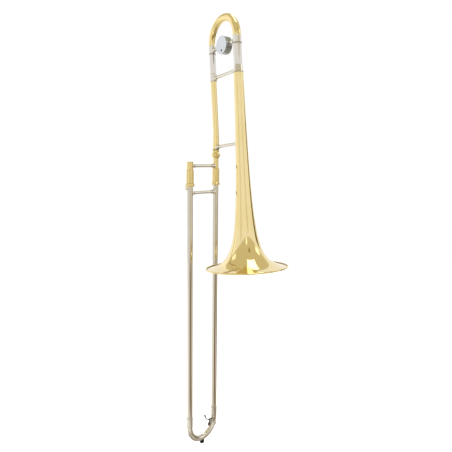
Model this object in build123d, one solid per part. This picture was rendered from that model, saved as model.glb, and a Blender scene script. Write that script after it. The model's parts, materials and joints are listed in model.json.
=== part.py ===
"""A straight tenor trombone with its bell pointing down, in millimetres.

+Z runs up the hand slide and out of the mouthpiece receiver, whose mouth is the origin.
The slide's other tube stands at +X, and the bell stands out towards -Y.
The bell section and the tuning slide are drawn in a frame of their own, bell_frame:
x from the neckpipe to the bell, z up the neckpipe, origin at the gooseneck's bend.
"""

from build123d import *
import math
import os

os.makedirs("parts", exist_ok=True)

# ---- Hand slide: tubes
slide_spacing = 88.0
slide_bore = 12.7
inner_wall = 0.3
stocking_wall = 0.15
slide_clearance = 0.1
outer_wall = 0.35
stocking_length = 110.0
outer_tube_top = -29.0
outer_tube_length = 661.0
inner_tube_stop = 2.0
leadpipe_length = 215.0
leadpipe_step = 0.45
leadpipe_taper = 0.4
leadpipe_clearance = 0.05

# ---- Mouthpiece receiver, hand brace and cork barrels
receiver_wall = 1.15
receiver_step = 0.2
receiver_depth = 24.0
receiver_skirt = 4.5
receiver_skirt_wall = 0.6
receiver_bead = 0.35
hand_brace_z = -10.5
barrel_clearance = 0.9
barrel_wall = 1.1
barrel_cap = 3.0
upper_barrel_top = -19.5
lower_barrel_top = -17.3
barrel_end = -53.4
barrel_bead_height = 1.65
barrel_bead_length = 7.2
felt_gap = 0.5

# ---- Slide lock
lock_ring_length = 7.6
lock_ring_clearance = 0.06
lock_ring_end_gap = 0.1
lock_neck_wall = 0.5
lock_lip_length = 0.9
lock_lip_height = 0.5
lug_drop = 3.5
lug_length = 3.0
lug_width = 3.4
lug_height = 2.6
lug_saddle_wall = 0.6
lug_saddle_length = 5.0
hook_clearance = 0.4
hook_thickness = 1.5
hook_angle = 25.0

# ---- Tenon, lock nut and neck receiver
tenon_sleeve_wall = 0.35
tenon_collar_height = 5.4
tenon_collar_length = 4.0
tenon_collar_step = 0.55
tenon_length = 35.8
tenon_root_wall = 0.6
tenon_tip_wall = 0.35
tenon_clearance = 0.05
tenon_end_gap = 1.0
nut_bottom = 8.8
nut_length = 19.7
nut_bulge_height = 7.9
nut_wall = 0.84
nut_bulge_step = 2.8
nut_band = 0.5
nut_lip_clearance = 0.1
nut_end_play = 0.15
thread_wall = 0.6
thread_clearance = 0.06
thread_length = 12.0
neck_receiver_gap = 3.3
neck_receiver_length = 32.9
neck_receiver_step = 0.4
neck_receiver_band = 0.3

# ---- Outer brace, bow, bumper
outer_brace_z = -77.3
bow_ferrule_half = 13.0
bow_ferrule_wall = 0.5
bow_leg = 17.6
bow_tube_step = 0.25
bow_wall = 0.45
guard_thickness = 0.8
guard_spread = 38.0
guard_start = 18.0
guard_end = 158.0
guard_stud_angle = 25.0
guard_stud_radius = 3.0
guard_stud_height = 6.0
bumper_stud_radius = 3.0
bumper_stud_length = 5.0
bumper_radius = 6.0
bumper_lip = 2.2
bumper_reach = 9.2

# ---- Water key: distances from the bow's inner wall, angles below the bell-side tube
key_pivot_clear = 4.9
key_pivot_angle = 11.0
key_pad_angle = 33.0
key_tip_reach = 34.0
key_tip_rise = 15.6
nipple_height = 2.4
nipple_radius = 3.2
nipple_bore = 1.6
pad_radius = 3.9
pad_thickness = 1.8
cup_radius = 4.5
cup_thickness = 1.6
key_width = 5.0
key_thickness = 1.7
key_hub_radius = 3.0
key_slot_width = 3.1
key_pin_radius = 1.1
key_pin_clearance = 0.05
key_pin_head = 1.1
key_post_thickness = 1.8
key_post_gap = 0.25
key_spring_wire = 0.3
key_spring_turns = 3

# ---- Brace tubes and their flanges
brace_radius = 4.0
brace_bore_radius = 3.3
flange_radius = 6.0
flange_neck = 4.9
flange_length = 8.0
flange_plate = 0.8
plate_half_width = 5.6
tall_plate = 8.6
short_plate = 6.2
lower_neck_plate = 5.0
socket_depth = 5.0

# ---- Bell section: where it stands on the slide
neck_tilt = 5.54
section_angle = 81.08
bend_reach = 5.3
bell_spacing = 104.3
lower_brace_s = -33.1

# ---- Neckpipe and tuning sleeves, in bell_frame
neckpipe_wall = 0.55
neckpipe_step = 0.55
neckpipe_height = 131.9
neck_ferrule_length = 19.1
bell_ferrule_length = 17.6
upper_brace_rise = 7.4
ferrule_wall = 0.6
ferrule_band = 0.3
ferrule_overlap = 6.0
sleeve_length = 61.8
sleeve_bead = 0.4
sleeve_bead_length = 2.5
sleeve_wall = 0.4
neck_sleeve_step = 0.7
bell_sleeve_radius = 10.3
tuning_clearance = 0.1
leg_wall = 0.4
leg_length = 73.0

# ---- Tuning slide
tuning_gap = 0.3
neck_tuning_ferrule_length = 20.3
bell_tuning_ferrule_length = 17.7
tuning_ferrule_wall = 0.35
tuning_ferrule_step = 0.15
tuning_bow_rise = 22.0
tuning_bow_skirt = 6.5
tuning_bow_neck_step = 0.2
tuning_bow_bell_step = 0.3
tuning_bow_wall = 0.5
tuning_brace_rise = 8.9

# ---- Counterweight on the tuning brace
weight_radius = 21.5
weight_thickness = 19.0
weight_seam = 0.4
weight_edge = 1.0
weight_screw_drop = 13.0
weight_screw_radius = 1.6
weight_screw_head_radius = 2.7
weight_screw_head_length = 3.2
weight_screw_recess = 4.6
weight_screw_tip = 6.0
weight_screw_socket = 1.5
weight_screw_socket_depth = 2.0

# ---- Bell: the radius falls as a power of the distance from the rim
bell_rim_radius = 102.0
bell_length = 474.2
bell_flare_offset = 10.1
bell_flare_power = 0.564
bell_wall = 0.6
bell_bead_radius = 2.0
bell_bead_wall = 0.5
bell_wire_clearance = 0.05
bell_bead_gap_start = 150.0
bell_bead_gap_end = 205.0
bell_outline_points = 16

# ---- Sizes that follow
inner_radius = slide_bore / 2 + inner_wall
stocking_radius = inner_radius + stocking_wall
outer_bore_radius = stocking_radius + slide_clearance
outer_radius = outer_bore_radius + outer_wall
leadpipe_mouth_radius = slide_bore / 2 - leadpipe_step
receiver_radius = inner_radius + receiver_wall
receiver_bore_radius = slide_bore / 2 - receiver_step
barrel_bore = outer_radius + barrel_clearance
barrel_radius = barrel_bore + barrel_wall
barrel_bead_radius = barrel_radius + barrel_bead_height
lock_ring_radius = barrel_bead_radius
felt_end = outer_tube_top + felt_gap
outer_tube_end = outer_tube_top - outer_tube_length
inner_tube_end = outer_tube_end + inner_tube_stop
receiver_end = -receiver_depth - receiver_skirt
receiver_skirt_radius = inner_radius + receiver_skirt_wall

lock_neck_radius = barrel_bore + lock_neck_wall
lock_lip_radius = lock_neck_radius + lock_lip_height
lock_ring_end = barrel_end - lock_ring_length
lug_top = lock_ring_end - lug_drop
lug_bottom = lug_top - lug_length

tenon_tube_radius = inner_radius + tenon_sleeve_wall
tenon_collar_radius = tenon_tube_radius + tenon_collar_step
tenon_root_radius = slide_bore / 2 + tenon_root_wall
tenon_tip_radius = slide_bore / 2 + tenon_tip_wall
thread_radius = tenon_root_radius + tenon_clearance + thread_wall
nut_waist_radius = thread_radius + thread_clearance + nut_wall
nut_bulge_radius = nut_waist_radius + nut_bulge_step
neck_receiver_radius = thread_radius + neck_receiver_step
neckpipe_radius = neck_receiver_radius - neckpipe_step
nut_top = nut_bottom + nut_length
nut_bulge_z = nut_bottom + nut_bulge_height
tenon_collar_bottom = nut_bottom + tenon_collar_height
tenon_collar_top = tenon_collar_bottom + tenon_collar_length
tenon_top = tenon_collar_top + tenon_length
neck_receiver_bottom = nut_top + neck_receiver_gap
neck_receiver_top = neck_receiver_bottom + neck_receiver_length
neckpipe_start = tenon_top + tenon_end_gap

bow_tube_radius = outer_radius + bow_tube_step
bow_radius = slide_spacing / 2
bow_centre = Vector(slide_spacing / 2, 0, outer_tube_end - bow_leg)
bow_inner_wall = bow_radius - bow_tube_radius
bow_bottom = bow_centre.Z - bow_radius - bow_tube_radius
key_pivot_distance = bow_inner_wall - key_pivot_clear
key_post_inner = key_width / 2 + key_post_gap
key_post_outer = key_post_inner + key_post_thickness

tilt = math.radians(neck_tilt)
heading = math.radians(section_angle - 180.0)
bend_z = neck_receiver_top + bend_reach
bell_frame = Plane(
    origin=(slide_spacing, 0, bend_z),
    x_dir=(math.cos(heading) * math.cos(tilt), math.sin(heading) * math.cos(tilt), math.sin(tilt)),
    z_dir=(-math.cos(heading) * math.sin(tilt), -math.sin(heading) * math.sin(tilt), math.cos(tilt)),
)
neck_sleeve_radius = neckpipe_radius + neck_sleeve_step
tuning_bow_neck_radius = neck_sleeve_radius - tuning_bow_neck_step
tuning_bow_bell_radius = bell_sleeve_radius - tuning_bow_bell_step
upper_brace_s = neckpipe_height + upper_brace_rise
stem_top = neckpipe_height + ferrule_overlap
sleeve_top = stem_top + sleeve_length
tuning_ferrule_bottom = sleeve_top + tuning_gap
tuning_bow_s = sleeve_top + tuning_bow_rise
tuning_bow_end = tuning_bow_s - tuning_bow_skirt
tuning_brace_s = sleeve_top + tuning_brace_rise
weight_centre = Vector(bell_spacing / 2, 0, tuning_brace_s)
bell_rim_s = stem_top - bell_length
bell_edge_radius = bell_rim_radius - bell_bead_radius

solids = {}


# ---- Shapes that repeat
def turned(*corners):
    """A solid turned about Z from (radius, height) corners."""
    return revolve(Plane.XZ * make_face(Polyline(*corners, close=True)), Axis.Z)


def pipe(outer, bore, low, high):
    """A straight tube on Z."""
    return turned((bore, low), (outer, low), (outer, high), (bore, high))


def on_upper(shape):
    """Places a shape on the mouthpiece-side tube's axis."""
    return shape


def on_lower(shape):
    """Places a shape on the bell-side tube's axis."""
    return Pos(slide_spacing, 0, 0) * shape


def on_bell(shape):
    """Places a shape on the bell's axis, within bell_frame."""
    return Pos(bell_spacing, 0, 0) * shape


def in_frame(shape):
    """Moves a shape from bell_frame to the model's frame."""
    return bell_frame.location * shape


def block(x_low, x_high, width, z_low, z_high):
    """A box between two x and two z values, centred on y."""
    return Pos((x_low + x_high) / 2, 0, (z_low + z_high) / 2) * Box(x_high - x_low, width, z_high - z_low)


def rod_x(radius, start, end, height):
    """A round bar along X."""
    return Pos((start + end) / 2, 0, height) * Rot(0, 90, 0) * Cylinder(radius, abs(end - start))


def rod_y(radius, start, end, x, z):
    """A round bar along Y."""
    return Pos(x, (start + end) / 2, z) * Rot(90, 0, 0) * Cylinder(radius, end - start)


def brace_flange(axis_x, wall_radius, side, height, blank, skin, plate_height):
    """A flange that stands on a tube's wall towards side (+1 or -1) and holds a brace tube's end.

    blank is the solid inside the tube's outer surface, and skin the layer just outside it."""
    reach = wall_radius + flange_length
    profile = (
        Line((0, 0), (0, flange_radius)),
        Line((0, flange_radius), (wall_radius, flange_radius)),
        Spline(
            (wall_radius, flange_radius),
            (wall_radius + flange_length * 0.4, flange_neck + 0.2),
            (reach, flange_neck),
        ),
        Line((reach, flange_neck), (reach, 0)),
        Line((reach, 0), (0, 0)),
    )
    horn = revolve(Plane.XY * make_face(Curve() + list(profile)), Axis.X)
    horn = Pos(axis_x, 0, height) * (Rot(0, 0, 0 if side > 0 else 180) * horn)
    plate_outline = Ellipse(plate_half_width, plate_height)
    window = extrude(Plane.YZ * plate_outline, amount=side * (wall_radius + flange_plate + 1))
    plate = skin & (Pos(axis_x, 0, height) * window)
    reach_x = axis_x + side * reach
    seat = rod_x(brace_radius, reach_x - side * socket_depth, reach_x + side, height)
    return (horn - blank + plate) - seat


def brace_tube(start_x, start_wall, end_x, end_wall, height):
    """A brace tube whose two ends sit in their flanges' sockets."""
    low = start_x + start_wall + flange_length - socket_depth
    high = end_x - end_wall - flange_length + socket_depth
    return rod_x(brace_radius, low, high, height) - rod_x(brace_bore_radius, low, high, height)


def round_flange(place, axis_x, wall_radius, side, height, plate_height):
    """A flange on a straight tube that place() puts at axis_x."""
    low = height - 2 * tall_plate
    high = height + 2 * tall_plate
    blank = place(turned((0, low), (wall_radius, low), (wall_radius, high), (0, high)))
    skin = place(pipe(wall_radius + flange_plate, wall_radius, low, high))
    return brace_flange(axis_x, wall_radius, side, height, blank, skin, plate_height)


# ---- Inner hand slide
def mouthpiece_receiver():
    """The sleeve with the mouthpiece's socket; its skirt holds the upper inner tube."""
    step = -receiver_depth
    band = receiver_radius + receiver_bead
    shoulder = upper_barrel_top - barrel_cap
    return turned(
        (receiver_bore_radius, 0), (band, 0), (band, -1.6), (receiver_radius, -2.2), (receiver_radius, shoulder),
        (receiver_skirt_radius, shoulder), (receiver_skirt_radius, receiver_end), (inner_radius, receiver_end),
        (inner_radius, step), (receiver_bore_radius, step),
    )


def leadpipe():
    """The tapered tube below the mouthpiece, narrowest a quarter of the way down."""
    outer = slide_bore / 2 - leadpipe_clearance
    top = -receiver_depth
    end = top - leadpipe_length
    return turned(
        (leadpipe_mouth_radius, top), (outer, top), (outer, end), (outer - 0.1, end),
        (leadpipe_mouth_radius - leadpipe_taper, top - leadpipe_length * 0.25),
    )


def inner_tube(top):
    return pipe(inner_radius, slide_bore / 2, inner_tube_end, top)


def stocking():
    top = inner_tube_end + stocking_length
    return turned(
        (inner_radius, inner_tube_end), (stocking_radius, inner_tube_end),
        (stocking_radius, top - 1), (inner_radius, top),
    )


def cork_barrel(top, neck_radius):
    """The barrel that holds the felt, closed at its top on the tube or sleeve inside it."""
    ceiling = top - barrel_cap
    return turned(
        (neck_radius, top), (barrel_radius - 0.5, top), (barrel_radius, top - 0.8), (barrel_radius, barrel_end),
        (barrel_bore, barrel_end), (barrel_bore, ceiling), (neck_radius, ceiling),
    )


def lower_cork_barrel():
    end = barrel_end - barrel_bead_length
    bead = turned(
        (barrel_bore, barrel_end), (barrel_radius, barrel_end), (barrel_bead_radius, barrel_end - 1.6),
        (barrel_bead_radius, end + 1.6), (barrel_radius, end), (barrel_bore, end),
    )
    return cork_barrel(lower_barrel_top, tenon_tube_radius) + bead


def upper_cork_barrel():
    lip_top = lock_ring_end + lock_lip_length
    collar = turned(
        (barrel_bore, barrel_end), (lock_neck_radius, barrel_end), (lock_neck_radius, lip_top),
        (lock_lip_radius, lip_top), (lock_lip_radius, lock_ring_end), (barrel_bore, lock_ring_end),
    )
    return cork_barrel(upper_barrel_top, receiver_radius) + collar


def felt(top, tube_radius):
    return pipe(barrel_bore, tube_radius, felt_end, top - barrel_cap)


def slide_tenon():
    """The sleeve on the lower inner tube, its collar for the nut, and the tapered tenon above."""
    low = lower_barrel_top - barrel_cap
    bore = slide_bore / 2
    return turned(
        (inner_radius, low), (tenon_tube_radius, low), (tenon_tube_radius, tenon_collar_bottom),
        (tenon_collar_radius, tenon_collar_bottom), (tenon_collar_radius, tenon_collar_top),
        (tenon_root_radius, tenon_collar_top), (tenon_tip_radius, tenon_top), (bore, tenon_top),
        (bore, hand_brace_z), (inner_radius, hand_brace_z),
    )


def inner_brace_flanges():
    return Compound(children=[
        round_flange(on_upper, 0, receiver_radius, 1, hand_brace_z, short_plate),
        round_flange(on_lower, slide_spacing, tenon_tube_radius, -1, hand_brace_z, short_plate),
    ])


def inner_brace():
    return brace_tube(0, receiver_radius, slide_spacing, tenon_tube_radius, hand_brace_z)


# ---- Nut and lock ring
def bell_lock_nut():
    """Turns on the tenon under its collar and draws the tenon into the neck receiver."""
    thread = thread_radius + thread_clearance
    lip = tenon_tube_radius + nut_lip_clearance
    pocket = tenon_collar_bottom - nut_end_play
    return turned(
        (lip, nut_bottom), (nut_waist_radius - 0.4, nut_bottom), (nut_bulge_radius - 1.6, nut_bulge_z - 4.2),
        (nut_bulge_radius, nut_bulge_z - 1.2), (nut_bulge_radius, nut_bulge_z + 1.2),
        (nut_bulge_radius - 1.6, nut_bulge_z + 4.0), (nut_waist_radius, nut_top - 3.4),
        (nut_waist_radius + nut_band, nut_top - 2.0), (nut_waist_radius + nut_band, nut_top), (thread, nut_top),
        (thread, pocket), (lip, pocket),
    )


def slide_lock_ring():
    """The ring under the upper barrel, with the hook that turns in under the lug."""
    bore = lock_neck_radius + lock_ring_clearance
    lip_bore = lock_lip_radius + lock_ring_clearance
    top = barrel_end - lock_ring_end_gap
    step = lock_ring_end + lock_lip_length + lock_ring_end_gap
    ring = turned(
        (bore, top), (lock_ring_radius - 0.8, top), (lock_ring_radius, top - 1.2),
        (lock_ring_radius, lock_ring_end + 1.2), (lock_ring_radius - 0.8, lock_ring_end),
        (lip_bore, lock_ring_end), (lip_bore, step), (bore, step),
    )
    toe_inner = outer_radius + lug_saddle_wall + hook_clearance
    stem_inner = outer_radius + lug_height + hook_clearance
    stem_outer = stem_inner + hook_thickness
    toe_top = lug_bottom - hook_clearance
    toe_bottom = toe_top - hook_thickness
    stem = block(-stem_outer, -stem_inner, lug_width, toe_bottom, lock_ring_end + 1)
    toe = block(-stem_outer, -toe_inner, lug_width, toe_bottom, toe_top)
    return ring + Rot(0, 0, -hook_angle) * (stem + toe)


# ---- Outer hand slide
def outer_tube():
    return pipe(outer_radius, outer_bore_radius, outer_tube_end, outer_tube_top)


def outer_brace():
    return brace_tube(0, outer_radius, slide_spacing, outer_radius, outer_brace_z)


def outer_brace_saddles():
    return Compound(children=[
        round_flange(on_upper, 0, outer_radius, 1, outer_brace_z, tall_plate),
        round_flange(on_lower, slide_spacing, outer_radius, -1, outer_brace_z, tall_plate),
    ])


def slide_lock_lug():
    """A saddle on the mouthpiece-side outer tube, with the lug that the hook catches."""
    saddle_low = lug_bottom - (lug_saddle_length - lug_length) / 2
    saddle_high = saddle_low + lug_saddle_length
    saddle = pipe(outer_radius + lug_saddle_wall, outer_radius, saddle_low, saddle_high)
    patch = block(-2 * outer_radius, -outer_radius * 0.3, outer_radius * 1.5, saddle_low, saddle_high)
    reach = outer_radius + lug_height
    lug = block(-reach, -outer_radius * 0.8, lug_width, lug_bottom, lug_top)
    tube_room = turned((0, saddle_low), (outer_radius, saddle_low), (outer_radius, lug_top), (0, lug_top))
    return (saddle & patch) + (lug - tube_room)


def bow_ferrule():
    """Covers the joint between an outer tube and the bow's end."""
    outer = bow_tube_radius + bow_ferrule_wall
    top = outer_tube_end + bow_ferrule_half
    end = outer_tube_end - bow_ferrule_half
    return turned(
        (outer_radius, top), (outer - 0.3, top), (outer, top - 0.6), (outer, end + 0.6), (outer - 0.3, end),
        (bow_tube_radius, end), (bow_tube_radius, outer_tube_end), (outer_radius, outer_tube_end),
    )


def bow_axis():
    return Axis(bow_centre, (0, 1, 0))


def bow_bend(section, start, end):
    """Carries a section, drawn about the tube's middle, round the bow between two angles."""
    placed = Pos(slide_spacing, 0, bow_centre.Z) * section
    return revolve(placed.rotate(bow_axis(), start), bow_axis(), end - start)


def bow_bar():
    """The bow's bend as a solid bar."""
    return bow_bend(Circle(bow_tube_radius), 0, 180)


def slide_bow():
    bore = bow_tube_radius - bow_wall
    bend = bow_bend(Circle(bow_tube_radius) - Circle(bore), 0, 180)
    leg = pipe(bow_tube_radius, bore, bow_centre.Z, outer_tube_end)
    return bend + on_upper(leg) + on_lower(leg)


def bow_guard():
    """The strip soldered along the outside of the bow, with a small stud near its bell-side end."""
    spread = math.radians(guard_spread)
    far = 2 * bow_tube_radius
    corner = (far * math.cos(spread), far * math.sin(spread))
    wedge = make_face(Polyline((0, 0), corner, (corner[0], -corner[1]), close=True))
    strip = (Circle(bow_tube_radius + guard_thickness) - Circle(bow_tube_radius)) & wedge
    wall = bow_radius + bow_tube_radius
    tip = wall + guard_stud_height
    stud = turned(
        (0, bow_radius), (guard_stud_radius, bow_radius), (guard_stud_radius, tip - 1), (guard_stud_radius - 1, tip),
        (0, tip),
    )
    stud = along_radius(stud, guard_stud_angle) - bow_bar()
    return bow_bend(strip, guard_start, guard_end) + stud


def bumper_stud():
    """The stud under the bow, shaped to its tube and guard, that holds the rubber bumper."""
    low = bow_bottom - bumper_stud_length
    stud = disc(bumper_stud_radius, low, bow_bottom + bow_tube_radius)
    return Pos(bow_centre.X, 0, 0) * stud - bow_bar() - bow_guard()


def rubber_bumper():
    """A rubber cap pushed over the stud, up against the bow."""
    top = bow_bottom + bumper_lip
    tip = bow_bottom - bumper_reach
    body = turned(
        (0, top), (bumper_radius, top), (bumper_radius, tip + 2.2), (bumper_radius - 0.4, tip + 0.8),
        (bumper_radius - 1.2, tip), (0, tip),
    )
    return Pos(bow_centre.X, 0, 0) * body - bow_bar() - bow_guard() - bumper_stud()


# ---- Water key
def bow_point(distance, angle):
    """A point in the bow's plane, at an angle below the bell-side tube."""
    turn = math.radians(angle)
    return Vector(bow_centre.X + distance * math.cos(turn), 0, bow_centre.Z - distance * math.sin(turn))


def along_radius(shape, angle):
    """Turns a shape drawn along +Z at the bow's centre to point out along a radius."""
    return Pos(bow_centre.X, 0, bow_centre.Z) * Rot(0, 90 + angle, 0) * shape


def disc(radius, low, high):
    return turned((0, low), (radius, low), (radius, high), (0, high))


def water_key_nipple():
    mouth = bow_inner_wall - nipple_height
    root = bow_inner_wall + nipple_radius
    body = turned(
        (nipple_bore, mouth), (nipple_radius - 0.6, mouth), (nipple_radius, bow_inner_wall), (nipple_radius, root),
        (nipple_bore, root),
    )
    return along_radius(body, key_pad_angle) - bow_bar()


def water_key_cork():
    mouth = bow_inner_wall - nipple_height
    return along_radius(disc(pad_radius, mouth - pad_thickness, mouth), key_pad_angle)


def key_pivot():
    return bow_point(key_pivot_distance, key_pivot_angle)


def water_key_lever():
    """One piece: the cup over the cork, the hub on the pivot and the curved touch."""
    cup_floor = bow_inner_wall - nipple_height - pad_thickness
    low = cup_floor - cup_thickness
    cup = along_radius(disc(cup_radius, low, cup_floor), key_pad_angle)
    pivot = key_pivot()
    tip = (slide_spacing - key_tip_reach, bow_centre.Z + key_tip_rise)
    hub = rod_y(key_hub_radius, -key_width / 2, key_width / 2, pivot.X, pivot.Z)
    cup_back = bow_point(low + cup_thickness / 2, key_pad_angle)
    arm = key_bar((pivot.X - 1.2, pivot.Z - 1.0), (cup_back.X, cup_back.Z), (0, 0))
    touch = key_bar(tip, (pivot.X - 1.6, pivot.Z + 0.4), (-2.6, -3.2))
    curl = rod_y(key_thickness * 0.75, -key_width / 2, key_width / 2, tip[0], tip[1])
    pin = rod_y(key_pin_radius + key_pin_clearance, -key_width, key_width, pivot.X, pivot.Z)
    slot = rod_y(key_hub_radius + 0.3, -key_slot_width / 2, key_slot_width / 2, pivot.X, pivot.Z)
    return cup + hub + arm + touch + curl - slot - pin


def key_bar(start, end, bow_out):
    """A bar in the bow's plane from start to end, bowed out in its middle."""
    middle = ((start[0] + end[0]) / 2 + bow_out[0], (start[1] + end[1]) / 2 + bow_out[1])
    run = math.hypot(end[0] - start[0], end[1] - start[1])
    side = (-(end[1] - start[1]) / run * key_thickness / 2, (end[0] - start[0]) / run * key_thickness / 2)
    above = [(p[0] + side[0], p[1] + side[1]) for p in (start, middle, end)]
    below = [(p[0] - side[0], p[1] - side[1]) for p in (start, middle, end)]
    if bow_out == (0, 0):
        outline = make_face(Polyline(above[0], above[2], below[2], below[0], close=True))
    else:
        outline = make_face(Curve() + [
            ThreePointArc(*above), Line(above[2], below[2]), ThreePointArc(*reversed(below)), Line(below[0], above[0]),
        ])
    return extrude(Plane.XZ * outline, amount=key_width / 2, both=True)


def water_key_saddle():
    """Two round-ended posts on a foot shaped to the bow."""
    pivot = key_pivot()
    leg_top = bow_inner_wall + key_hub_radius
    foot_width = 2 * key_hub_radius + 2
    foot = Pos(0, 0, bow_inner_wall + 1.6) * Box(foot_width, 2 * key_post_outer, 4)
    saddle = along_radius(foot, key_pivot_angle)
    for side in (-1, 1):
        middle = side * (key_post_inner + key_post_outer) / 2
        low = middle - key_post_thickness / 2
        high = middle + key_post_thickness / 2
        leg = Pos(0, middle, (key_pivot_distance + leg_top) / 2)
        leg = leg * Box(2 * key_hub_radius - 1, key_post_thickness, leg_top - key_pivot_distance)
        saddle += rod_y(key_hub_radius, low, high, pivot.X, pivot.Z) + along_radius(leg, key_pivot_angle)
    hole = rod_y(key_pin_radius, -key_post_outer, key_post_outer, pivot.X, pivot.Z)
    hub_room = rod_y(key_hub_radius + 0.6, -key_post_inner, key_post_inner, pivot.X, pivot.Z)
    return saddle - bow_bar() - hole - hub_room


def water_key_screw():
    """The pivot screw: a slotted head outside one post, its end flush with the other."""
    pivot = key_pivot()
    face = -key_post_outer - key_pin_head
    shank = rod_y(key_pin_radius, -key_post_outer, key_post_outer, pivot.X, pivot.Z)
    head = rod_y(key_pin_radius * 2, face, -key_post_outer, pivot.X, pivot.Z)
    slot = Pos(pivot.X, face, pivot.Z) * Rot(0, 30, 0) * Box(0.6, 0.9, key_pin_radius * 5)
    return shank + head - slot


def water_key_spring():
    """A coil round the pivot, between the cheeks of the key's hub."""
    pivot = key_pivot()
    pitch = key_spring_wire * 2 + 0.08
    height = pitch * key_spring_turns
    radius = key_pin_radius + key_pin_clearance + key_spring_wire + 0.15
    path = Helix(pitch, height, radius)
    wire = sweep(Plane(origin=path @ 0, z_dir=path % 0) * Circle(key_spring_wire), path=path, is_frenet=True)
    return Pos(pivot.X, height / 2, pivot.Z) * Rot(90, 0, 0) * wire


# ---- Bell section
def neck_receiver():
    """The socket for the tenon, threaded outside at its lower end for the nut."""
    socket_root = tenon_root_radius + tenon_clearance
    socket_tip = tenon_tip_radius + tenon_clearance
    low = neck_receiver_bottom - thread_length
    band = neck_receiver_radius + neck_receiver_band
    return on_lower(turned(
        (socket_root, low), (thread_radius, low), (thread_radius, neck_receiver_bottom),
        (band, neck_receiver_bottom), (band, neck_receiver_bottom + 2),
        (neck_receiver_radius, neck_receiver_bottom + 2.6), (neck_receiver_radius, neck_receiver_top - 0.8),
        (neck_receiver_radius - 0.4, neck_receiver_top), (neckpipe_radius, neck_receiver_top),
        (neckpipe_radius, neckpipe_start), (socket_tip, neckpipe_start),
    ))


def neckpipe():
    """Up from the receiver, round the gooseneck's bend and straight to the neck ferrule."""
    start = bell_frame.to_local_coords(Vector(slide_spacing, 0, neckpipe_start))
    low_bend = bell_frame.to_local_coords(Vector(slide_spacing, 0, bend_z - bend_reach))
    high_bend = Vector(0, 0, bend_reach)
    rise = Line(start, low_bend)
    bend = TangentArc(low_bend, high_bend, tangent=low_bend - start)
    run = Line(high_bend, (0, 0, stem_top))
    path = Wire([rise.edge(), bend.edge(), run.edge()])
    section_plane = Plane(origin=start, z_dir=low_bend - start)
    ring = section_plane * (Circle(neckpipe_radius) - Circle(neckpipe_radius - neckpipe_wall))
    return in_frame(sweep(ring, path=path))


def sleeve(radius, low):
    """An outer tuning tube with a bead round its open top."""
    bore = radius - sleeve_wall
    bead = radius + sleeve_bead
    bead_low = sleeve_top - sleeve_bead_length
    return turned(
        (bore, low), (radius, low), (radius, bead_low - 0.4), (bead, bead_low), (bead, sleeve_top - 0.4),
        (radius, sleeve_top), (bore, sleeve_top),
    )


def neck_side_sleeve():
    return in_frame(sleeve(neck_sleeve_radius, stem_top))


def bell_side_sleeve():
    return in_frame(on_bell(sleeve(bell_sleeve_radius, stem_top)))


def neck_ferrule():
    """Joins the neckpipe to its tuning sleeve."""
    outer = neck_sleeve_radius + ferrule_wall
    top = neckpipe_height + neck_ferrule_length
    return in_frame(turned(
        (neckpipe_radius, neckpipe_height), (outer, neckpipe_height), (outer, top - 2),
        (neck_sleeve_radius + 0.15, top), (neck_sleeve_radius, top), (neck_sleeve_radius, stem_top),
        (neckpipe_radius, stem_top),
    ))


def bell_ferrule_outline():
    """The bell ferrule's outer corners, from its lower band up to its thin top edge."""
    wide = max(bell_radius(neckpipe_height), bell_sleeve_radius) + ferrule_wall
    top = neckpipe_height + bell_ferrule_length
    return (
        (wide + ferrule_band, neckpipe_height), (wide, neckpipe_height + 2.5),
        (bell_sleeve_radius + 0.5, top - 3), (bell_sleeve_radius + 0.15, top),
    )


def bell_ferrule_body():
    """The ferrule joining the bell's stem to its tuning sleeve, on its own axis."""
    top = neckpipe_height + bell_ferrule_length
    body = turned(
        (0, neckpipe_height), *bell_ferrule_outline(), (bell_sleeve_radius, top), (bell_sleeve_radius, stem_top),
        (0, stem_top),
    )
    return body - bell_blank(0)


def bell_ferrule():
    return in_frame(on_bell(bell_ferrule_body()))


def bell_radius(s):
    """The bell's outer radius at a height."""
    reach = s - bell_rim_s
    return bell_rim_radius * (bell_flare_offset / (reach + bell_flare_offset)) ** bell_flare_power


def bell_edge_s():
    """The height where the wall reaches the middle of the rolled bead."""
    widening = (bell_rim_radius / bell_edge_radius) ** (1 / bell_flare_power)
    return bell_rim_s + bell_flare_offset * (widening - 1)


def bell_line(offset):
    """The horn's outline, moved out by offset along its normal, as points closer together at the rim."""
    start = bell_edge_s()
    points = []
    for i in range(bell_outline_points + 1):
        s = start + (stem_top - start) * (i / bell_outline_points) ** 2.2
        slope = -bell_flare_power * bell_radius(s) / (s - bell_rim_s + bell_flare_offset)
        across = 1 / math.hypot(1, slope)
        points.append((bell_radius(s) + offset * across, s - offset * slope * across))
    return points


def bell_blank(offset):
    """The solid inside the bell's outer surface, moved out by offset."""
    line = bell_line(offset)
    bottom = line[0]
    top = line[-1]
    outline = Curve() + [
        Spline(*line), Line(top, (0, top[1])), Line((0, top[1]), (0, bottom[1])), Line((0, bottom[1]), bottom),
    ]
    return revolve(Plane.XZ * make_face(outline), Axis.Z)


def bead_centre():
    return (bell_edge_radius, bell_edge_s() - bell_wall + bell_bead_radius)


def ray(angle, length):
    """A point at an angle in degrees and a distance from the origin."""
    return (length * math.cos(math.radians(angle)), length * math.sin(math.radians(angle)))


def bell():
    """The horn's wall, rolled back over a wire at its edge."""
    outside = bell_line(0)
    inside = bell_line(-bell_wall)
    wall = make_face(Curve() + [
        Spline(*outside), Line(outside[-1], inside[-1]), Spline(*reversed(inside)), Line(inside[0], outside[0]),
    ])
    cavity = Circle(bell_bead_radius - bell_bead_wall)
    far = 2 * bell_bead_radius
    gap = make_face(Polyline((0, 0), ray(bell_bead_gap_start, far), ray(bell_bead_gap_end, far), close=True))
    bead = Circle(bell_bead_radius) - cavity - gap
    place = Pos(*bead_centre())
    return revolve(Plane.XZ * (wall + place * bead - place * cavity), Axis.Z)


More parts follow.
